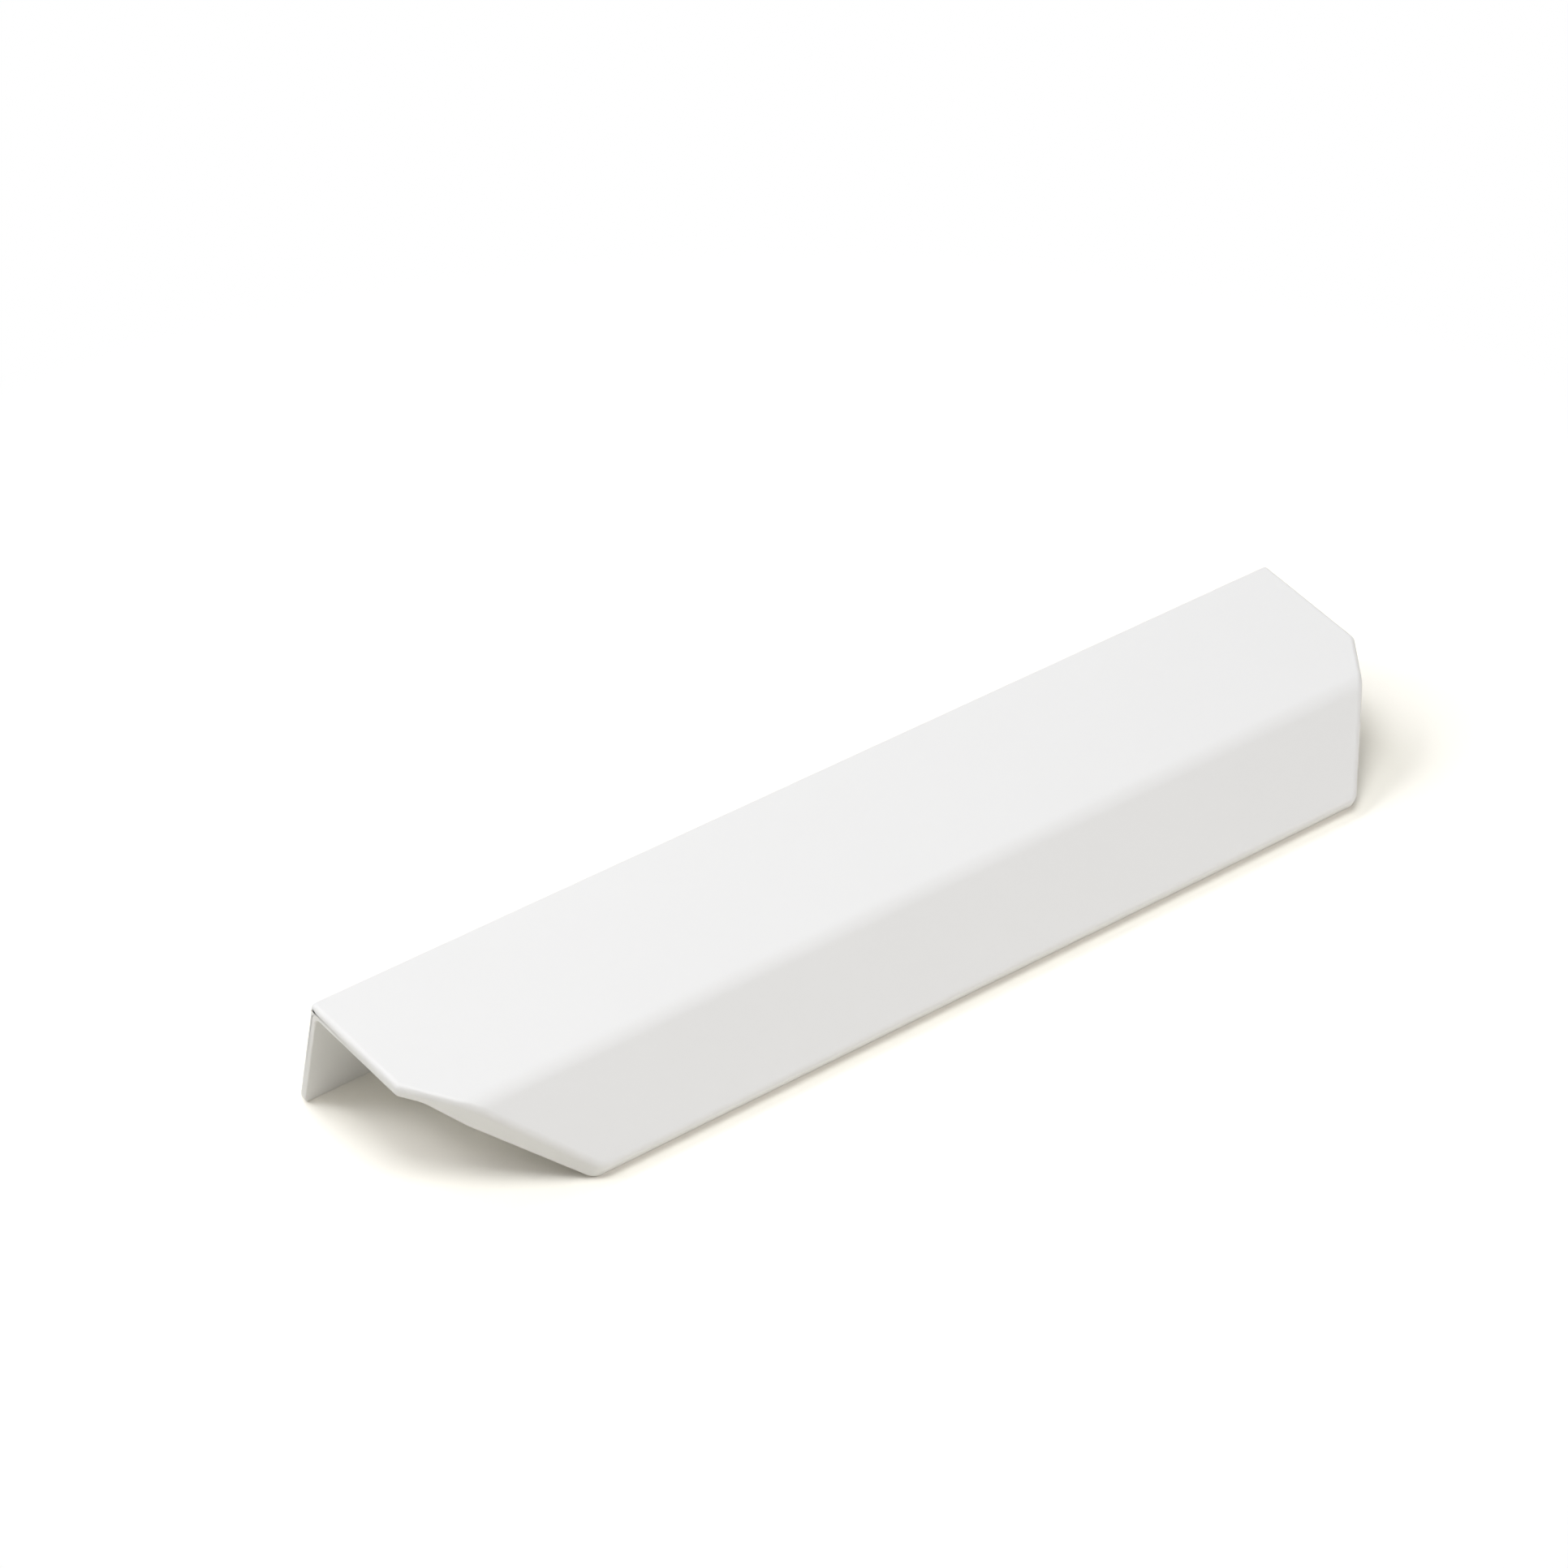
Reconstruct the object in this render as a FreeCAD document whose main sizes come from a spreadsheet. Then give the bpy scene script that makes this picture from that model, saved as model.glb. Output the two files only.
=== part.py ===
import FreeCAD, Part
import math
import os
import Sketcher

# Lip pull for the edge of a cupboard door or drawer front.
# One piece: a flange that is screwed to the back of the door, a plate over the door's edge
# and a thick lip that slopes down in front and thins towards its nose, with mitred ends.
# The frame is the one in which the pull is fitted. +Z is up and -Y is the front of the door.
# X runs along the pull. The origin is the middle of the screw line on the flange's door side.

# Driving sizes in millimetres and degrees
SIZES = [
    ("pull_length", 200.0),
    ("flange_wall", 1.8),
    ("plate_wall", 1.8),
    ("nose_wall", 2.7),
    ("throat_setback", 5.6),
    ("flange_drop", 17.4),
    ("seat_depth", 19.6),
    ("plate_reach", 28.4),
    ("lip_length", 17.5),
    ("lip_angle", 26.0),
    ("plate_mitre", 37.0),
    ("lip_mitre", 43.0),
    ("cut_overrun", 5.0),
    ("bend_radius", 7.0),
    ("throat_radius", 4.0),
    ("heel_radius", 0.5),
    ("heel_inner_radius", 0.9),
    ("shoulder_radius", 1.5),
    ("nose_corner_radius", 2.5),
    ("foot_corner_radius", 1.0),
    ("bend_corner_radius", 12.0),
    ("outer_edge_radius", 1.0),
    ("inner_edge_radius", 0.2),
    ("hole_spacing", 160.0),
    ("hole_drop", 9.0),
    ("hole_diameter", 3.5),
    ("head_diameter", 6.0),
    ("head_angle", 90.0),
]

doc = FreeCAD.newDocument("lip_pull")

# Sheet of sizes
sheet = doc.addObject("Spreadsheet::Sheet", "sizes")
for row, (alias, value) in enumerate(SIZES, start=1):
    sheet.set(f"A{row}", alias)
    sheet.set(f"B{row}", str(value))
    sheet.setAlias(f"B{row}", alias)
doc.recompute()

body = doc.addObject("PartDesign::Body", "pull")
body.Label = "pull"
body.Placement = FreeCAD.Placement()


def origin_plane(role):
    """The body's own origin plane with this role."""
    return next(part for part in body.Origin.OriginFeatures if part.Role == role)


def new_sketch(name, role):
    """An empty sketch on one of the body's origin planes."""
    sketch = body.newObject("Sketcher::SketchObject", name)
    sketch.AttachmentSupport = [(origin_plane(role), "")]
    sketch.MapMode = "FlatFace"
    return sketch


def drive(sketch, name, formula, *constraint):
    """Add a named dimension to a sketch and bind it to the sheet."""
    index = sketch.addConstraint(Sketcher.Constraint(*constraint))
    sketch.renameConstraint(index, name)
    sketch.setExpression(f"Constraints.{name}", formula)


def closed_outline(sketch, points):
    """Straight lines through the points, joined end to end."""
    count = len(points)
    corners = [FreeCAD.Vector(x, y, 0) for x, y in points]
    for i in range(count):
        sketch.addGeometry(Part.LineSegment(corners[i], corners[(i + 1) % count]), False)
    for i in range(count):
        sketch.addConstraint(Sketcher.Constraint("Coincident", i, 2, (i + 1) % count, 1))


def size(alias):
    """A driving size read back from the sheet."""
    return float(sheet.get(alias))


def edges_at(feature, test):
    """Names of a feature's edges whose middle point passes the test."""
    names = []
    for number, edge in enumerate(feature.Shape.Edges, start=1):
        middle = edge.valueAt((edge.FirstParameter + edge.LastParameter) / 2)
        if test(middle):
            names.append(f"Edge{number}")
    return names


def near(value, target, slack=0.01):
    """Whether two lengths agree to within the slack."""
    return abs(value - target) < slack


def round_edges(name, test, formula):
    """Fillet the edges of the body's last feature that pass the test."""
    doc.recompute()
    base = body.Tip
    names = edges_at(base, test)
    if not names:
        raise ValueError(f"{name} found no edge")
    fillet = body.newObject("PartDesign::Fillet", name)
    fillet.Base = (base, names)
    fillet.setExpression("Radius", formula)
    doc.recompute()
    body.Tip = fillet
    print(name, len(names), "edges, volume", round(fillet.Shape.Volume, 2))
    return fillet


# Places that follow from the sizes
half_length = size("pull_length") / 2
seat_z = size("hole_drop")
top_z = seat_z + size("plate_wall")
foot_z = seat_z - size("flange_drop")
lip_slope = math.radians(size("lip_angle"))
bend_y = -size("plate_reach")
nose_y = bend_y - size("lip_length") * math.cos(lip_slope)
nose_z = top_z - size("lip_length") * math.sin(lip_slope)
nose_under_y = nose_y + size("nose_wall") * math.sin(lip_slope)
nose_under_z = nose_z - size("nose_wall") * math.cos(lip_slope)
throat_y = bend_y + size("throat_setback")
shoulder_y = -size("seat_depth")
plate_inset = (shoulder_y - bend_y) * math.tan(math.radians(size("plate_mitre")))

# Section through the flange, the plate and the lip, drawn from behind the foot round to the seat
section = new_sketch("section", "YZ_Plane")
closed_outline(section, [
    (0, foot_z),
    (size("flange_wall"), foot_z),
    (size("flange_wall"), top_z),
    (bend_y, top_z),
    (nose_y, nose_z),
    (nose_under_y, nose_under_z),
    (throat_y, seat_z),
    (0, seat_z),
])
FOOT, BACK, TOP, LIP, NOSE, LIP_UNDER, SEAT, DOOR_SIDE = range(8)
for line in (FOOT, TOP, SEAT):
    section.addConstraint(Sketcher.Constraint("Horizontal", line))
for line in (BACK, DOOR_SIDE):
    section.addConstraint(Sketcher.Constraint("Vertical", line))
section.addConstraint(Sketcher.Constraint("PointOnObject", FOOT, 1, -2))
section.addConstraint(Sketcher.Constraint("Perpendicular", LIP, NOSE))
drive(section, "flange_wall", "sizes.flange_wall", "DistanceX", FOOT, 1, FOOT, 2, size("flange_wall"))
drive(section, "plate_wall", "sizes.plate_wall", "DistanceY", SEAT, 2, BACK, 2, size("plate_wall"))
drive(section, "flange_drop", "sizes.flange_drop", "DistanceY", FOOT, 1, SEAT, 2, size("flange_drop"))
drive(section, "hole_drop", "sizes.hole_drop", "DistanceY", -1, 1, SEAT, 2, seat_z)
drive(section, "plate_reach", "sizes.plate_reach", "DistanceX", TOP, 2, -1, 1, -bend_y)
drive(section, "lip_length", "sizes.lip_length", "Distance", LIP, size("lip_length"))
drive(section, "nose_wall", "sizes.nose_wall", "Distance", NOSE, size("nose_wall"))
drive(section, "throat_setback", "sizes.throat_setback", "DistanceX", TOP, 2, SEAT, 1, size("throat_setback"))
drive(section, "lip_angle", "sizes.lip_angle * 1 deg", "Angle", TOP, LIP, lip_slope)

doc.recompute()
pad = body.newObject("PartDesign::Pad", "profile")
pad.Profile = section
pad.SideType = "Symmetric"
pad.setExpression("Length", "sizes.pull_length")
doc.recompute()
body.Tip = pad
print("profile volume", round(pad.Shape.Volume, 2))


def along(y, z):
    """A test for the long edges that run at this depth and height."""
    return lambda middle: near(middle.y, y) and near(middle.z, z)


# Soft bends along the pull, made before the ends are cut
round_edges("bend_round", along(bend_y, top_z), "sizes.bend_radius")
round_edges("throat_round", along(throat_y, seat_z), "sizes.throat_radius")
round_edges("heel_round", along(size("flange_wall"), top_z), "sizes.heel_radius")
round_edges("heel_fillet", along(0, seat_z), "sizes.heel_inner_radius")

# Ends, cut square to the plate: in from the shoulder at the plate's mitre, round a soft corner
# at the bend, and on to past the nose at the lip's mitre
overrun = size("cut_overrun")
plate_mitre = math.radians(size("plate_mitre"))
lip_mitre = math.radians(size("lip_mitre"))
plate_cut_heading = math.radians(270) - plate_mitre
lip_cut_heading = math.radians(270) - lip_mitre
corner_radius = size("bend_corner_radius")
corner_run = corner_radius * math.tan((lip_mitre - plate_mitre) / 2)
bend_x = half_length - plate_inset
cut_front = nose_y - overrun
plate_cut_end = (bend_x + corner_run * math.sin(plate_mitre), bend_y + corner_run * math.cos(plate_mitre))
lip_cut_start = (bend_x - corner_run * math.sin(lip_mitre), bend_y - corner_run * math.cos(lip_mitre))
corner_centre = (
    plate_cut_end[0] - corner_radius * math.cos(plate_mitre),
    plate_cut_end[1] + corner_radius * math.sin(plate_mitre),
)
outside_x = half_length + overrun
cut_start = (outside_x, shoulder_y + overrun / math.tan(plate_mitre))
cut_end = (bend_x - (bend_y - cut_front) * math.tan(lip_mitre), cut_front)


def flat(point):
    """A point of the plan as a vector."""
    return FreeCAD.Vector(point[0], point[1], 0)


mitre = new_sketch("mitre", "XY_Plane")
PLATE_CUT = mitre.addGeometry(Part.LineSegment(flat(cut_start), flat(plate_cut_end)), False)
corner_circle = Part.Circle(flat(corner_centre), FreeCAD.Vector(0, 0, 1), corner_radius)
CORNER = mitre.addGeometry(Part.ArcOfCircle(corner_circle, -lip_mitre, -plate_mitre), False)
LIP_CUT = mitre.addGeometry(Part.LineSegment(flat(lip_cut_start), flat(cut_end)), False)
FRONT_CUT = mitre.addGeometry(Part.LineSegment(flat(cut_end), flat((outside_x, cut_front))), False)
SIDE_CUT = mitre.addGeometry(Part.LineSegment(flat((outside_x, cut_front)), flat(cut_start)), False)
SHOULDER = mitre.addGeometry(Part.Point(flat((half_length, shoulder_y))), True)
BEND = mitre.addGeometry(Part.Point(flat((bend_x, bend_y))), True)
mitre.addConstraint(Sketcher.Constraint("Tangent", PLATE_CUT, 2, CORNER, 2))
mitre.addConstraint(Sketcher.Constraint("Tangent", CORNER, 1, LIP_CUT, 1))
mitre.addConstraint(Sketcher.Constraint("Coincident", LIP_CUT, 2, FRONT_CUT, 1))
mitre.addConstraint(Sketcher.Constraint("Coincident", FRONT_CUT, 2, SIDE_CUT, 1))
mitre.addConstraint(Sketcher.Constraint("Coincident", SIDE_CUT, 2, PLATE_CUT, 1))
mitre.addConstraint(Sketcher.Constraint("Horizontal", FRONT_CUT))
mitre.addConstraint(Sketcher.Constraint("Vertical", SIDE_CUT))
mitre.addConstraint(Sketcher.Constraint("PointOnObject", SHOULDER, 1, PLATE_CUT))
mitre.addConstraint(Sketcher.Constraint("PointOnObject", BEND, 1, PLATE_CUT))
mitre.addConstraint(Sketcher.Constraint("PointOnObject", BEND, 1, LIP_CUT))
drive(mitre, "half_length", "sizes.pull_length / 2", "DistanceX", -1, 1, SHOULDER, 1, half_length)
drive(mitre, "seat_depth", "sizes.seat_depth", "DistanceY", SHOULDER, 1, -1, 1, -shoulder_y)
drive(mitre, "plate_reach", "sizes.plate_reach", "DistanceY", BEND, 1, -1, 1, -bend_y)
drive(mitre, "plate_mitre", "(270 - sizes.plate_mitre) * 1 deg", "Angle", PLATE_CUT, plate_cut_heading)
drive(mitre, "lip_mitre", "(270 - sizes.lip_mitre) * 1 deg", "Angle", LIP_CUT, lip_cut_heading)
drive(mitre, "corner", "sizes.bend_corner_radius", "Radius", CORNER, corner_radius)
drive(mitre, "front_overrun",
      "sizes.plate_reach + sizes.lip_length * cos(sizes.lip_angle * 1 deg) + sizes.cut_overrun",
      "DistanceY", LIP_CUT, 2, -1, 1, -cut_front)
drive(mitre, "side_overrun", "sizes.cut_overrun", "DistanceX", SHOULDER, 1, SIDE_CUT, 1, overrun)

doc.recompute()
before = body.Tip.Shape.Volume
pocket = body.newObject("PartDesign::Pocket", "end_cut")
pocket.Profile = mitre
pocket.Type = "ThroughAll"
pocket.SideType = "Symmetric"
doc.recompute()
body.Tip = pocket
mirrored = body.newObject("PartDesign::Mirrored", "both_ends_cut")
mirrored.Originals = [pocket]
mirrored.MirrorPlane = (origin_plane("YZ_Plane"), [""])
body.Tip = mirrored
doc.recompute()
print("ends cut away", round(before - mirrored.Shape.Volume, 2))


def upright(x, y):
    """A test for the edges that stand at this place on either end."""
    return lambda middle: near(abs(middle.x), x) and near(middle.y, y)


def on_nose_end(middle):
    """A test for the short edges where the mitred ends meet the nose."""
    on_mitre = near(bend_x - (bend_y - middle.y) * math.tan(lip_mitre), abs(middle.x))
    return on_mitre and near(middle.y, (nose_y + nose_under_y) / 2)


def on_foot_end(middle):
    """A test for the two short edges at the ends of the flange's foot."""
    return near(abs(middle.x), half_length) and near(middle.z, foot_z)


# Corners of the outline, rounded through the thickness
round_edges("shoulder_round", upright(half_length, shoulder_y), "sizes.shoulder_radius")
round_edges("nose_corner_round", on_nose_end, "sizes.nose_corner_radius")
round_edges("foot_corner_round", on_foot_end, "sizes.foot_corner_radius")

# Rims: the whole outline of the outer skin, then the whole outline of the door side
round_edges("outer_rim", along(nose_y, nose_z), "sizes.outer_edge_radius")
round_edges("inner_rim", along(nose_under_y, nose_under_z), "sizes.inner_edge_radius")

# Screw holes through the flange, countersunk from behind
doc.recompute()
screw_line = new_sketch("screw_line", "XZ_Plane")
screw_line.setExpression("AttachmentOffset.Base.z", "-sizes.flange_wall")
first_place = FreeCAD.Vector(size("hole_spacing") / 2, 0, 0)
hole_radius = size("hole_diameter") / 2
RIGHT_HOLE = screw_line.addGeometry(Part.Circle(first_place, FreeCAD.Vector(0, 0, 1), hole_radius), False)
screw_line.addConstraint(Sketcher.Constraint("PointOnObject", RIGHT_HOLE, 3, -1))
drive(screw_line, "half_spacing", "sizes.hole_spacing / 2", "DistanceX", -1, 1, RIGHT_HOLE, 3, first_place.x)
drive(screw_line, "diameter", "sizes.hole_diameter", "Diameter", RIGHT_HOLE, size("hole_diameter"))
doc.recompute()
before = body.Tip.Shape.Volume
screw_hole = body.newObject("PartDesign::Hole", "screw_hole")
screw_hole.Profile = screw_line
doc.recompute()
screw_hole.Reversed = True
screw_hole.DepthType = "Dimension"
screw_hole.DrillPoint = "Flat"
screw_hole.setExpression("Depth", "sizes.flange_wall + sizes.cut_overrun")
screw_hole.HoleCutType = "Countersink"
screw_hole.HoleCutCustomValues = True
screw_hole.setExpression("Diameter", "sizes.hole_diameter")
screw_hole.setExpression("HoleCutDiameter", "sizes.head_diameter")
screw_hole.setExpression("HoleCutCountersinkAngle", "sizes.head_angle * 1 deg")
doc.recompute()
body.Tip = screw_hole
both_holes = body.newObject("PartDesign::Mirrored", "both_holes")
both_holes.Originals = [screw_hole]
both_holes.MirrorPlane = (origin_plane("YZ_Plane"), [""])
body.Tip = both_holes
doc.recompute()
print("screw holes cut away", round(before - both_holes.Shape.Volume, 2))

# Check every sketch and feature, then write the piece
for feature in doc.Objects:
    for trouble in ("Invalid", "Error"):
        if trouble in feature.State:
            raise RuntimeError(f"{feature.Name} is in state {trouble}")
    if feature.isDerivedFrom("Sketcher::SketchObject") and not feature.FullyConstrained:
        raise RuntimeError(f"{feature.Name} is not fully constrained")
    if feature.isDerivedFrom("PartDesign::Feature"):
        if feature.Shape.isNull() or not feature.Shape.isValid():
            raise RuntimeError(f"{feature.Name} has no valid shape")

if body.Shape.isNull() or not body.Shape.isValid() or len(body.Shape.Solids) != 1:
    raise RuntimeError("the pull is not one valid solid")
os.makedirs("parts", exist_ok=True)
body.Shape.exportStep(f"parts/{body.Label}.step")
print("pull volume", round(body.Shape.Volume, 2), body.Shape.BoundBox)
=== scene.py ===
# %% [markdown]
# # A lip pull for the edge of a door
#
# A lip pull is one bent strip of painted metal. A thin flange is screwed to the back of a
# cupboard door, a flat plate lies over the door's edge, and a thicker lip slopes down in front
# for the fingers. This lesson models it by hand with Blender's own tools, paints it white and
# lights it on a white table.

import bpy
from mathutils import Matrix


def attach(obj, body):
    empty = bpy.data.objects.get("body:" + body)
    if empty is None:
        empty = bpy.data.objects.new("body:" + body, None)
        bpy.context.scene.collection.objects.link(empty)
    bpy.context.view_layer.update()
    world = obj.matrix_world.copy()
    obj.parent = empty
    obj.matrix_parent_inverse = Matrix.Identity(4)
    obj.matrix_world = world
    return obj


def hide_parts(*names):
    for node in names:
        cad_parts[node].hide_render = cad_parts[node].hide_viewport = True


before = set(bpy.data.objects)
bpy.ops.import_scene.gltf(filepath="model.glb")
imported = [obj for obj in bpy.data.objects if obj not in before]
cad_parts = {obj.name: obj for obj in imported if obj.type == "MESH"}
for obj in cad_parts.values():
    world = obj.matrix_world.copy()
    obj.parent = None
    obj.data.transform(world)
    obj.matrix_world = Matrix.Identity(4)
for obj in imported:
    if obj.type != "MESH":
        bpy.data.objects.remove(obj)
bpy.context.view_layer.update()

# %% [markdown]
# ## Sizes
#
# The solid has the right form, but it is made of long thin triangles, and a satin surface shows
# each of them. So the pull is modelled again in clean faces, on the same sizes. X runs along the
# pull, Z is up and the front of the door is towards -Y. Blender works in metres.

# %% Sizes of the pull
import math

import bmesh
import bpy
from mathutils import Matrix, Vector

MM = 0.001
LENGTH = 200 * MM
FLANGE_WALL = 1.8 * MM
PLATE_WALL = 1.8 * MM
NOSE_WALL = 2.7 * MM
SEAT_Z = 9 * MM
FOOT_Z = -8.4 * MM
SEAT_DEPTH = 19.6 * MM
PLATE_REACH = 28.4 * MM
THROAT_SETBACK = 5.6 * MM
LIP_LENGTH = 17.5 * MM
LIP_ANGLE = math.radians(26)
QUARTER_TURN = math.radians(90)

top_z = SEAT_Z + PLATE_WALL
print("height, mm:", round((top_z - FOOT_Z) / MM, 1))

# %% [markdown]
# ## Helpers for selecting
#
# By hand, faces and edges are picked with the mouse. In a script they are picked by their place,
# so that the same ones are found again after any change. Every tool works on all that is
# selected, and that is why each step starts by clearing the selection.

# %% Pick faces and edges by place
SLACK = 0.002 * MM


def take_up(piece):
    """Make this piece the only one selected, and the active one."""
    bpy.ops.object.select_all(action="DESELECT")
    piece.select_set(True)
    bpy.context.view_layer.objects.active = piece


def near(value, target):
    """Whether two lengths are the same for picking."""
    return abs(value - target) < SLACK


def pick(piece, kind, test):
    """In edit mode, select only the faces or edges that pass the test, and count them."""
    bpy.ops.mesh.select_mode(type={"faces": "FACE", "edges": "EDGE"}[kind])
    bpy.ops.mesh.select_all(action="DESELECT")
    mesh = bmesh.from_edit_mesh(piece.data)
    count = 0
    for item in getattr(mesh, kind):
        middle = sum((corner.co for corner in item.verts), Vector()) / len(item.verts)
        if test(item, middle):
            item.select_set(True)
            count += 1
    mesh.select_flush_mode()
    bmesh.update_edit_mesh(piece.data)
    return count


def runs_along(place):
    """A test for the long edge at this depth and height."""

    def test(edge, middle):
        return near(middle.x, 0) and near(middle.y, place.y) and near(middle.z, place.z)

    return test


print("places match within, mm:", SLACK / MM)

# %% [markdown]
# ## The flange
#
# The real strip is one piece, so it grows out of one block. The block is the flange, the part
# that hangs behind the door. A cut across it at the height of the door's edge marks off the band
# that the plate will grow from.

# %% Add the flange block
bpy.ops.object.select_all(action="DESELECT")
bpy.ops.mesh.primitive_cube_add(
    size=1,
    location=(0, FLANGE_WALL / 2, (top_z + FOOT_Z) / 2),
    scale=(LENGTH, FLANGE_WALL, top_z - FOOT_Z),
)
pull = bpy.context.active_object
pull.name = "painted_pull"
bpy.ops.object.transform_apply(location=True, rotation=False, scale=True)
take_up(pull)
bpy.ops.object.mode_set(mode="EDIT")
bpy.ops.mesh.select_all(action="SELECT")
bpy.ops.mesh.bisect(plane_co=(0, 0, SEAT_Z), plane_no=(0, 0, 1), threshold=SLACK)
print("faces after the cut:", len(bmesh.from_edit_mesh(pull.data).faces))

# %% [markdown]
# ## The plate and the lip
#
# The band is drawn forward over the door to make the plate, and its new end is drawn on down the
# slope to make the lip. The lip starts thick and thins towards its nose. Its underside leaves the
# plate at the throat, a little behind the bend, and the nose is square to the slope on top.

# %% Places along the section
down_the_lip = Vector((0, -math.cos(LIP_ANGLE), -math.sin(LIP_ANGLE)))
off_the_lip = Vector((0, -math.sin(LIP_ANGLE), math.cos(LIP_ANGLE)))
bend = Vector((0, -PLATE_REACH, top_z))
throat = Vector((0, THROAT_SETBACK - PLATE_REACH, SEAT_Z))
nose = bend + down_the_lip * LIP_LENGTH
nose_under = nose - off_the_lip * NOSE_WALL
print("nose, mm:", [round(part / MM, 1) for part in nose])

# %% Draw out the plate
# A face looks straight one way where that part of its normal is over this.
STRAIGHT = 0.9

pick(pull, "faces", lambda face, middle: face.normal.y < -STRAIGHT and middle.z > SEAT_Z)
bpy.ops.mesh.extrude_region_move(TRANSFORM_OT_translate={"value": (0, -PLATE_REACH, 0)})
pick(pull, "edges", runs_along(Vector((0, -PLATE_REACH, SEAT_Z))))
bpy.ops.transform.translate(value=(0, THROAT_SETBACK, 0))
print("faces with the plate:", len(bmesh.from_edit_mesh(pull.data).faces))

# %% Draw out the lip
# The end of the plate leans now, so it is enough that it looks a little to the front.
LEANING = 0.2

pick(pull, "faces", lambda face, middle: middle.y < -SEAT_DEPTH and face.normal.y < -LEANING)
bpy.ops.mesh.extrude_region_move(TRANSFORM_OT_translate={"value": down_the_lip * LIP_LENGTH})
rough_under = throat + down_the_lip * LIP_LENGTH
pick(pull, "edges", runs_along(rough_under))
bpy.ops.transform.translate(value=nose_under - rough_under)
print("faces with plate and lip:", len(bmesh.from_edit_mesh(pull.data).faces))

# %% [markdown]
# ## Soft bends
#
# On the real pull the plate turns into the lip in a soft curve, which shows as a wide band where
# the tone changes slowly. A bevel with many small steps makes such a curve. The tool asks how far
# to step back from the sharp edge. For a round of a given radius that is the radius times the
# tangent of half the turn.

# %% Round the four long edges
ROUND_PROFILE = 0.5

under_angle = math.atan2(throat.z - nose_under.z, throat.y - nose_under.y)

# Each row gives the name, the place, the radius, the turn of the surface and the steps.
BENDS = [
    ("bend", bend, 7 * MM, LIP_ANGLE, 12),
    ("throat", throat, 4 * MM, under_angle, 8),
    ("heel", Vector((0, FLANGE_WALL, top_z)), 0.5 * MM, QUARTER_TURN, 8),
    ("inside of the heel", Vector((0, 0, SEAT_Z)), 0.9 * MM, QUARTER_TURN, 8),
]


def bevel_picked(step_back, steps):
    """Round the selected edges, stepping back this far to both sides of each."""
    bpy.ops.mesh.bevel(
        offset_type="OFFSET",
        offset=step_back,
        segments=steps,
        profile=ROUND_PROFILE,
        affect="EDGES",
        clamp_overlap=False,
    )


def round_picked(radius, turn, steps):
    """Round the selected edges to a radius, where the surface turns by this angle."""
    bevel_picked(radius * math.tan(turn / 2), steps)


for name, place, radius, turn, steps in BENDS:
    found = pick(pull, "edges", runs_along(place))
    round_picked(radius, turn, steps)
    print(name, "edges rounded:", found)

# %% [markdown]
# ## Mitred ends
#
# Each end is square over the door, then turns inwards over the front of the plate and a little
# more down the lip. On the real pull this is a straight saw or press cut, so a bisect is the
# right tool: it slices the mesh with a plane, throws away what is outside and caps the cut. The
# two slopes meet in a wide soft corner, made of a few flats that lean by small steps.

# %% Slice the ends
PLATE_MITRE = math.radians(37)
LIP_MITRE = math.radians(43)
CORNER_RADIUS = 12 * MM
FLATS = 4
CUT_SLACK = SLACK / 10

bend_x = LENGTH / 2 - (PLATE_REACH - SEAT_DEPTH) * math.tan(PLATE_MITRE)


def outward_from(mitre, side=1):
    """The level direction that an end cut at this mitre faces."""
    return Vector((side * math.cos(mitre), -math.sin(mitre), 0))


middle_mitre = (PLATE_MITRE + LIP_MITRE) / 2
centre_back = CORNER_RADIUS / math.cos((LIP_MITRE - PLATE_MITRE) / 2)
for side in (-1, 1):
    bend_end = Vector((side * bend_x, -PLATE_REACH, 0))
    centre = bend_end - centre_back * outward_from(middle_mitre, side)
    for flat in range(FLATS):
        mitre = PLATE_MITRE + (LIP_MITRE - PLATE_MITRE) * flat / (FLATS - 1)
        outward = outward_from(mitre, side)
        bpy.ops.mesh.select_all(action="SELECT")
        bpy.ops.mesh.bisect(
            plane_co=centre + CORNER_RADIUS * outward,
            plane_no=outward,
            clear_outer=True,
            use_fill=True,
            threshold=CUT_SLACK,
        )
print("faces after the cuts:", len(bmesh.from_edit_mesh(pull.data).faces))

# %% [markdown]
# Where two of the flats meet there is a line through the thickness of the metal. The rims are
# rounded later, and that only stays tidy if every such line also goes on across the skin. So the
# mesh is cut along the pull once more at each of these lines. The cuts don't change the form.

# %% Cut along the pull at the corner lines
lean = (LIP_MITRE - PLATE_MITRE) / (FLATS - 1)
for line in range(FLATS - 1):
    towards = outward_from(PLATE_MITRE + lean * (line + 0.5))
    corner_line = centre + towards * CORNER_RADIUS / math.cos(lean / 2)
    bpy.ops.mesh.select_all(action="SELECT")
    bpy.ops.mesh.bisect(plane_co=(0, corner_line.y, 0), plane_no=(0, 1, 0), threshold=SLACK)
print("faces after the lengthwise cuts:", len(bmesh.from_edit_mesh(pull.data).faces))

# %% [markdown]
# ## Corners of the outline
#
# No corner that a hand or a door can meet is left sharp. The shoulders, the corners of the nose
# and the corners of the foot are rounded through the thickness of the metal, before the rims.

# %% Round the corners
nose_turn = math.acos(math.sin(LIP_MITRE) * math.cos(LIP_ANGLE))
nose_middle = (nose + nose_under) / 2


def at_shoulder(edge, middle):
    return near(abs(middle.x), LENGTH / 2) and near(middle.y, -SEAT_DEPTH)


def at_nose_end(edge, middle):
    short = edge.calc_length() < 2 * NOSE_WALL
    return short and near(middle.y, nose_middle.y) and near(middle.z, nose_middle.z)


def at_foot_end(edge, middle):
    return near(abs(middle.x), LENGTH / 2) and near(middle.z, FOOT_Z)


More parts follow.
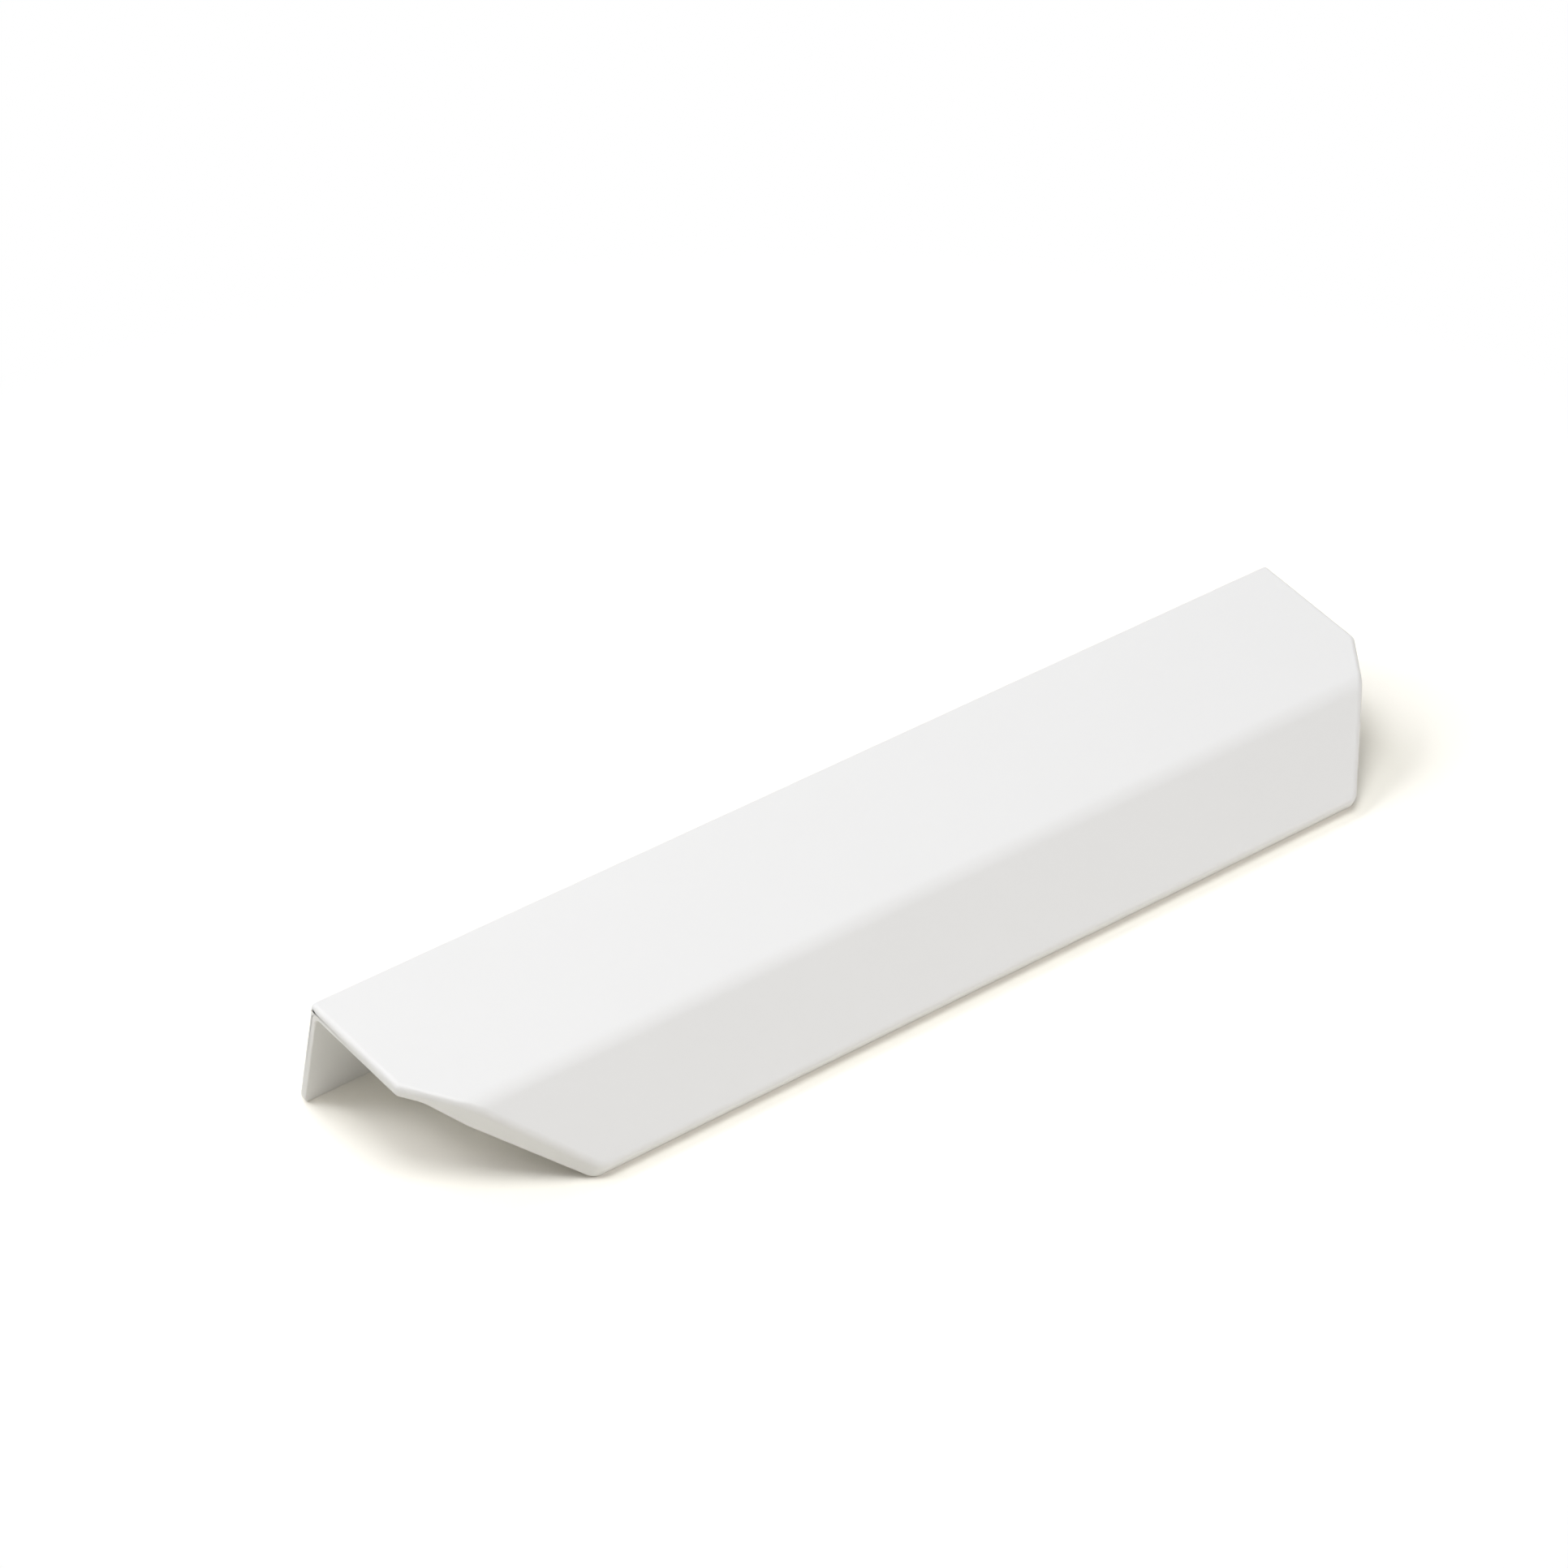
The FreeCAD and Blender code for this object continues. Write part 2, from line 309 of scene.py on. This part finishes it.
# Each row gives the name, the test, the radius, the turn of the outline and the steps.
CORNERS = [
    ("shoulder", at_shoulder, 1.5 * MM, PLATE_MITRE, 6),
    ("nose corner", at_nose_end, 2.5 * MM, nose_turn, 8),
    ("foot corner", at_foot_end, 1 * MM, QUARTER_TURN, 8),
]
for name, test, radius, turn, steps in CORNERS:
    found = pick(pull, "edges", test)
    round_picked(radius, turn, steps)
    print(name, "edges rounded:", found)

# %% [markdown]
# ## Rims
#
# The rim is the line where the broad skin of the pull meets its narrow edge, all the way round.
# It is selected as a hand would do it: one face is clicked, the selection spreads over every face
# that joins it smoothly, and the border of that patch is the rim. The same step back all round
# gives the even rim that grinding and paint leave on the real pull.

# %% Round the rims
SMOOTH_LIMIT = math.radians(30)
OUTER_RIM = 1.0 * MM
OUTER_STEPS = 6
INNER_RIM = 0.2 * MM
INNER_STEPS = 4

# A face counts as level where the upright part of its normal is over this.
LEVEL = 0.99


def round_rim(name, seed, step_back, steps):
    """Round the whole border of one skin."""
    pick(pull, "faces", seed)
    bpy.ops.mesh.faces_select_linked_flat(sharpness=SMOOTH_LIMIT)
    bpy.ops.mesh.region_to_loop()
    bevel_picked(step_back, steps)
    print(name, "rounded, faces now:", len(bmesh.from_edit_mesh(pull.data).faces))


def on_top(face, middle):
    return face.normal.z > LEVEL and near(middle.z, top_z)


def under_plate(face, middle):
    return face.normal.z < -LEVEL and near(middle.z, SEAT_Z)


round_rim("outer rim", on_top, OUTER_RIM, OUTER_STEPS)
round_rim("inner rim", under_plate, INNER_RIM, INNER_STEPS)
bpy.ops.object.mode_set(mode="OBJECT")

# %% [markdown]
# ## Screw holes
#
# Two countersunk screws hold the flange to the back of the door. The drill that makes both holes
# is a cylinder whose rear end flares like the head of a countersunk screw. It is subtracted
# twice, once at each place, and then thrown away.

# %% Make the drill
HOLE_RADIUS = 1.75 * MM
HEAD_RADIUS = 3 * MM
HOLE_SPACING = 160 * MM
DRILL_SPARE = 1 * MM
CIRCLE_SIDES = 64

drill_front = -DRILL_SPARE
drill_rear = FLANGE_WALL + DRILL_SPARE
bpy.ops.object.select_all(action="DESELECT")
bpy.ops.mesh.primitive_cylinder_add(
    vertices=CIRCLE_SIDES,
    radius=HOLE_RADIUS,
    depth=drill_rear - drill_front,
    location=(HOLE_SPACING / 2, (drill_rear + drill_front) / 2, 0),
    rotation=(QUARTER_TURN, 0, 0),
)
drill = bpy.context.active_object
drill.name = "drill"
bpy.ops.object.transform_apply(location=True, rotation=True, scale=True)
take_up(drill)
bpy.ops.object.mode_set(mode="EDIT")
bpy.ops.mesh.select_all(action="SELECT")
flare_start = FLANGE_WALL - (HEAD_RADIUS - HOLE_RADIUS)
bpy.ops.mesh.bisect(plane_co=(0, flare_start, 0), plane_no=(0, 1, 0), threshold=SLACK)
pick(drill, "faces", lambda face, middle: face.normal.y > STRAIGHT)
flare = (HEAD_RADIUS + DRILL_SPARE) / HOLE_RADIUS
bpy.ops.transform.resize(value=(flare, 1, flare), center_override=(HOLE_SPACING / 2, 0, 0))
bpy.ops.object.mode_set(mode="OBJECT")
print("drill, mm:", [round(part / MM, 1) for part in drill.dimensions])

# %% Drill the two holes
take_up(pull)
for shift in (0, -HOLE_SPACING):
    drill.location.x = shift
    bpy.context.view_layer.update()
    hole = pull.modifiers.new("screw hole", "BOOLEAN")
    hole.operation = "DIFFERENCE"
    hole.solver = "EXACT"
    hole.object = drill
    bpy.ops.object.modifier_apply(modifier=hole.name)
bpy.data.objects.remove(drill)
print("faces with holes:", len(pull.data.polygons))

# %% [markdown]
# Paint never covers a knife edge, so the mouths of the holes get a tiny round as well.

# %% Ease the mouths of the holes
MOUTH_ROUND = 0.12 * MM
MOUTH_STEPS = 3
RING_SLACK = 0.05 * MM


def on_mouth(edge, middle):
    """The rings where a hole meets the back and the door side of the flange."""
    from_axis = math.hypot(abs(middle.x) - HOLE_SPACING / 2, middle.z)
    at_back = near(middle.y, FLANGE_WALL) and abs(from_axis - HEAD_RADIUS) < RING_SLACK
    at_door = near(middle.y, 0) and abs(from_axis - HOLE_RADIUS) < RING_SLACK
    return (at_back or at_door) and edge.calc_face_angle() > SMOOTH_LIMIT


bpy.ops.object.mode_set(mode="EDIT")
found = pick(pull, "edges", on_mouth)
bevel_picked(MOUTH_ROUND, MOUTH_STEPS)
bpy.ops.object.mode_set(mode="OBJECT")
print("mouth edges eased:", found)

# %% [markdown]
# ## Smooth shading
#
# The steps of each round are small, so shading can blend across them, while real edges stay
# crisp. Weighted normals let the broad flat faces decide the shading at their borders. Without
# them the light would bend oddly near the rims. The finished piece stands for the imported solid
# and moves with it.

# %% Finish the mesh
BROAD_FACE_WEIGHT = 100

bpy.ops.object.shade_smooth_by_angle(angle=SMOOTH_LIMIT)
even = pull.modifiers.new("even shading", "WEIGHTED_NORMAL")
even.keep_sharp = True
even.weight = BROAD_FACE_WEIGHT
bpy.ops.object.modifier_apply(modifier=even.name)

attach(pull, "root")
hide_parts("pull")
print("finished faces:", len(pull.data.polygons))

# %% [markdown]
# ## White powder coat
#
# Powder paint melts into a thick satin skin. It isn't quite flat: it sets in soft waves about a
# millimetre across, like the skin of an orange, with a much finer grain on top. Both are only a
# few thousandths of a millimetre high, so they are bump and not mesh. The gloss varies a little
# from place to place as well, and the colour hardly at all.

# %% Helpers for shader nodes
def empty_material(name):
    """A new material with no nodes yet, and its node tree."""
    material = bpy.data.materials.new(name)
    material.use_nodes = True
    material.node_tree.nodes.clear()
    return material, material.node_tree


def set_socket(tree, socket, value):
    """Link a socket given as the value, or else store the value in the socket."""
    if isinstance(value, bpy.types.NodeSocket):
        tree.links.new(value, socket)
    else:
        socket.default_value = value


def add_node(tree, kind, settings=None, **sockets):
    """Add a node, set its properties and input sockets, and link any socket given as an output."""
    node = tree.nodes.new(kind)
    for name, value in (settings or {}).items():
        setattr(node, name, value)
    for name, value in sockets.items():
        set_socket(tree, node.inputs[name.replace("_", " ")], value)
    return node


# %% A helper that mixes two colours
# The colour sockets of a mix node share their names with others, so they are found by number.
FIRST_COLOUR = 6
SECOND_COLOUR = 7
MIXED_COLOUR = 2


def mix_colours(tree, factor, first, second):
    """A mix of two plain colours, the second where the factor is one."""
    mix = add_node(tree, "ShaderNodeMix", {"data_type": "RGBA"}, Factor=factor)
    mix.inputs[FIRST_COLOUR].default_value = first
    mix.inputs[SECOND_COLOUR].default_value = second
    return mix.outputs[MIXED_COLOUR]


# %% Mix the paint
# Each noise has its waves in a metre, its detail and its roughness.
CLOUDS = (60.0, 3.0, 0.55)
PAINT_WHITE = (0.86, 0.857, 0.85, 1)
PAINT_SHADE = (0.85, 0.846, 0.838, 1)


def add_noise(tree, place, per_metre, detail, roughness):
    """Soft noise over the surface."""
    kind = "ShaderNodeTexNoise"
    noise = add_node(tree, kind, Vector=place, Scale=per_metre, Detail=detail, Roughness=roughness)
    return noise.outputs["Fac"]


paint, tree = empty_material("white_powder_coat")
on_paint = add_node(tree, "ShaderNodeTexCoord").outputs["Object"]
clouds = add_noise(tree, on_paint, *CLOUDS)
colour = mix_colours(tree, clouds, PAINT_SHADE, PAINT_WHITE)
print("nodes for the colour:", len(tree.nodes))

# %% Gloss and skin of the paint
PEEL = (750.0, 2.0, 0.4)
PEEL_HEIGHT = 0.006 * MM
GRAIN = (5200.0, 2.0, 0.6)
GRAIN_HEIGHT = 0.0012 * MM
SHINIEST = 0.36
DULLEST = 0.44
PAINT_IOR = 1.5

peel = add_noise(tree, on_paint, *PEEL)
grain = add_noise(tree, on_paint, *GRAIN)
gloss = add_node(tree, "ShaderNodeMapRange", Value=clouds, To_Min=SHINIEST, To_Max=DULLEST)
waves = add_node(tree, "ShaderNodeBump", Strength=1.0, Distance=PEEL_HEIGHT, Height=peel)
skin = add_node(
    tree,
    "ShaderNodeBump",
    Strength=1.0,
    Distance=GRAIN_HEIGHT,
    Height=grain,
    Normal=waves.outputs["Normal"],
)
coat = add_node(
    tree,
    "ShaderNodeBsdfPrincipled",
    Base_Color=colour,
    Roughness=gloss.outputs["Result"],
    IOR=PAINT_IOR,
    Normal=skin.outputs["Normal"],
)
add_node(tree, "ShaderNodeOutputMaterial", Surface=coat.outputs["BSDF"])
pull.data.materials.clear()
pull.data.materials.append(paint)
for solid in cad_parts.values():
    solid.data.materials.clear()
    solid.data.materials.append(paint)
print("paint nodes:", len(tree.nodes))

# %% [markdown]
# ## How the pull lies
#
# In this lesson's frame the pull sits as it is fitted, with the flange upright. In the picture it
# lies loose on a table, on the tip of the flange and the edge of the lip, so its front is tipped
# down. The piece itself must not move, so the table, the camera and the lamps are tilted round it
# instead. They are all placed by one matrix, which carries a place on the table into the frame of
# the pull.

# %% Tilt of the table
REST_TILT = math.radians(12.01)

table_height = min(
    corner.co.y * math.sin(REST_TILT) + corner.co.z * math.cos(REST_TILT)
    for corner in pull.data.vertices
)
table = Matrix.Rotation(-REST_TILT, 4, "X") @ Matrix.Translation((0, 0, table_height))
print("table lies below the screw line by, mm:", round(-table_height / MM, 2))

# %% [markdown]
# ## The table
#
# The table is warm white and keeps the soft shadow of the pull. The picture is exposed so that
# the lit table burns out to plain white, so the camera is shown a brighter colour than the light
# meets. A light table also glows a little, which lifts the low faces of the pull. Far from the
# pull the table is simply white, so no lamp's edge shows on it. Seen from below it lets the view
# through, because a low view from the front looks at the pull from under its slope.

# %% Add the table
TABLE_RADIUS = 2.0
TABLE_WHITE = (0.9, 0.88, 0.80, 1)
TABLE_SHOWN = (1.16, 1.128, 1.05, 1)
TABLE_GLOW = 0.07
NEAR_PULL = 0.125
FAR_FROM_PULL = 0.22


def add_disc(name, radius, place):
    """Add a flat disc at the place that this matrix gives."""
    bpy.ops.object.select_all(action="DESELECT")
    bpy.ops.mesh.primitive_circle_add(vertices=CIRCLE_SIDES, radius=radius, fill_type="NGON")
    disc = bpy.context.active_object
    disc.name = name
    disc.matrix_world = place
    return disc


table_top = add_disc("table_top", TABLE_RADIUS, table)
print("table, m across:", 2 * TABLE_RADIUS)

# %% Helpers for the table finish
def combine(tree, operation, *values):
    """The outcome of a math step. Each value is a number or a socket."""
    step = add_node(tree, "ShaderNodeMath", {"operation": operation})
    for socket, value in zip(step.inputs, values):
        set_socket(tree, socket, value)
    return step.outputs[0]


def seen_by_eye(tree):
    """The kinds of ray now on their way, and a factor that is one for rays that look at things."""
    rays = add_node(tree, "ShaderNodeLightPath").outputs
    camera_or_gloss = combine(tree, "MAXIMUM", rays["Is Camera Ray"], rays["Is Glossy Ray"])
    return rays, combine(tree, "MAXIMUM", camera_or_gloss, rays["Is Transmission Ray"])


def mix_shaders(tree, factor, first, second):
    """A mix of two shaders, the second where the factor is one."""
    mix = add_node(tree, "ShaderNodeMixShader", Fac=factor)
    tree.links.new(first, mix.inputs[1])
    tree.links.new(second, mix.inputs[2])
    return mix.outputs["Shader"]


# %% Table finish
board, tree = empty_material("white_table")
rays, looked_at = seen_by_eye(tree)
shade = mix_colours(tree, rays["Is Camera Ray"], TABLE_WHITE, TABLE_SHOWN)
matt = add_node(tree, "ShaderNodeBsdfDiffuse", Color=shade)
glow_power = combine(tree, "MULTIPLY", rays["Is Diffuse Ray"], TABLE_GLOW)
glow = add_node(tree, "ShaderNodeEmission", Color=TABLE_WHITE, Strength=glow_power)
near_side = add_node(tree, "ShaderNodeAddShader")
tree.links.new(matt.outputs["BSDF"], near_side.inputs[0])
tree.links.new(glow.outputs["Emission"], near_side.inputs[1])

on_table = add_node(tree, "ShaderNodeTexCoord").outputs["Object"]
reach = add_node(tree, "ShaderNodeVectorMath", {"operation": "LENGTH"}, Vector=on_table)
far = add_node(
    tree,
    "ShaderNodeMapRange",
    {"interpolation_type": "SMOOTHSTEP"},
    Value=reach.outputs["Value"],
    From_Min=NEAR_PULL,
    From_Max=FAR_FROM_PULL,
)
white = add_node(tree, "ShaderNodeEmission", Strength=1.0).outputs["Emission"]

pictured = mix_shaders(tree, far.outputs["Result"], near_side.outputs["Shader"], white)
top_side = mix_shaders(tree, looked_at, near_side.outputs["Shader"], pictured)
under_side = add_node(tree, "ShaderNodeBsdfTransparent").outputs["BSDF"]
backfacing = add_node(tree, "ShaderNodeNewGeometry").outputs["Backfacing"]
both_sides = mix_shaders(tree, backfacing, top_side, under_side)
add_node(tree, "ShaderNodeOutputMaterial", Surface=both_sides)
table_top.data.materials.append(board)
print("table nodes:", len(tree.nodes))

# %% [markdown]
# ## The camera
#
# The camera looks down on the pull from the front and left with a long lens, so that the far end
# hardly shrinks. Its place was worked out from the outline of the pull in the picture.

# %% Add the camera
PICTURE_PIXELS = 1932
FOCAL_PIXELS = 8486.5
SENSOR_MM = 36
CAMERA_TURN = math.radians(-41.172)
CAMERA_RISE = math.radians(31.645)
CAMERA_DISTANCE = 1116.46 * MM
LOOK_AT = Vector((14.745, 23.213, 0)) * MM
NEAREST_SEEN = 0.01
FARTHEST_SEEN = 20


def direction(turn, rise):
    """The way from the pull to something at this turn round it and this rise above the table."""
    return Vector((
        math.sin(turn) * math.cos(rise),
        -math.cos(turn) * math.cos(rise),
        math.sin(rise),
    ))


def looking(place, target):
    """A matrix at the place that looks at the target, both given on the table."""
    turned = (target - place).to_track_quat("-Z", "Y").to_matrix().to_4x4()
    return table @ Matrix.Translation(place) @ turned


lens = bpy.data.cameras.new("camera")
lens.sensor_width = SENSOR_MM
lens.lens = FOCAL_PIXELS / PICTURE_PIXELS * SENSOR_MM
lens.clip_start = NEAREST_SEEN
lens.clip_end = FARTHEST_SEEN
camera = bpy.data.objects.new("camera", lens)
bpy.context.scene.collection.objects.link(camera)
camera_place = LOOK_AT + direction(CAMERA_TURN, CAMERA_RISE) * CAMERA_DISTANCE
camera.matrix_world = looking(camera_place, LOOK_AT)
bpy.context.scene.camera = camera
print("lens, mm:", round(lens.lens, 1))

# %% [markdown]
# ## The light
#
# The picture has the broad soft light of a white studio. Most of it comes from above, from the
# left and from behind, and three weak low lamps in front keep the slope, the nose and the cut ends
# from going grey. Each lamp is a square panel that faces the pull. The watts were found by
# rendering each lamp alone and weighing the results until the faces had the tones of the picture.

# %% Add the lamps
LAMPS_AWAY = 1.2
TABLE_CENTRE = Vector()

# Each row gives the name, the turn and the rise in degrees, the side in metres, the watts
# and the tint.
LAMPS = [
    ("overhead", 0, 90, 0.9, 8.1, (0.985, 1.0, 0.98)),
    ("high left", -90, 62, 0.6, 1.5, (1.0, 1.0, 1.0)),
    ("back", 180, 40, 0.6, 4.4, (1.005, 1.005, 1.08)),
    ("back left", -135, 40, 0.6, 4.6, (0.995, 1.0, 1.03)),
    ("low right front", 45, 18, 0.5, 1.8, (1.01, 1.0, 1.025)),
    ("low front", 0, 18, 0.5, 2.35, (1.055, 0.995, 1.0)),
    ("low left front", -45, 7, 0.3, 0.9, (1.035, 0.995, 0.96)),
]

for name, turn, rise, side, power, tint in LAMPS:
    panel = bpy.data.lights.new(name, "AREA")
    panel.shape = "SQUARE"
    panel.size = side
    panel.energy = power
    panel.color = tint
    lamp = bpy.data.objects.new(name, panel)
    bpy.context.scene.collection.objects.link(lamp)
    towards_lamp = direction(math.radians(turn), math.radians(rise))
    lamp.matrix_world = looking(towards_lamp * LAMPS_AWAY, TABLE_CENTRE)
    print(name, "panel, watts:", power)

# %% [markdown]
# The studio is dark behind the camera, and the rims that face the camera show it as a thin dark
# line. A round black card stands for that dark. The camera looks through it.

# %% Add the black card
CARD_AWAY = 0.9
CARD_RADIUS = 0.36
CARD_BLACK = (0.02, 0.02, 0.02, 1)

card_place = direction(CAMERA_TURN, CAMERA_RISE) * CARD_AWAY
card = add_disc("black_card", CARD_RADIUS, looking(card_place, TABLE_CENTRE))
card.visible_camera = False
felt, tree = empty_material("black_felt")
dull = add_node(tree, "ShaderNodeBsdfDiffuse", Color=CARD_BLACK)
add_node(tree, "ShaderNodeOutputMaterial", Surface=dull.outputs["BSDF"])
card.data.materials.append(felt)
print("card, mm across:", round(2 * CARD_RADIUS / MM))

# %% [markdown]
# The world is pure white to the eye and gives no light of its own.

# %% White world
PURE_WHITE = (1, 1, 1, 1)

world = bpy.data.worlds.new("white_studio")
bpy.context.scene.world = world
world.use_nodes = True
tree = world.node_tree
tree.nodes.clear()
looked_at = seen_by_eye(tree)[1]
sky = add_node(tree, "ShaderNodeBackground", Color=PURE_WHITE, Strength=looked_at)
add_node(tree, "ShaderNodeOutputWorld", Surface=sky.outputs["Background"])
bpy.context.scene.view_settings.view_transform = "Standard"
print("world nodes:", len(tree.nodes))
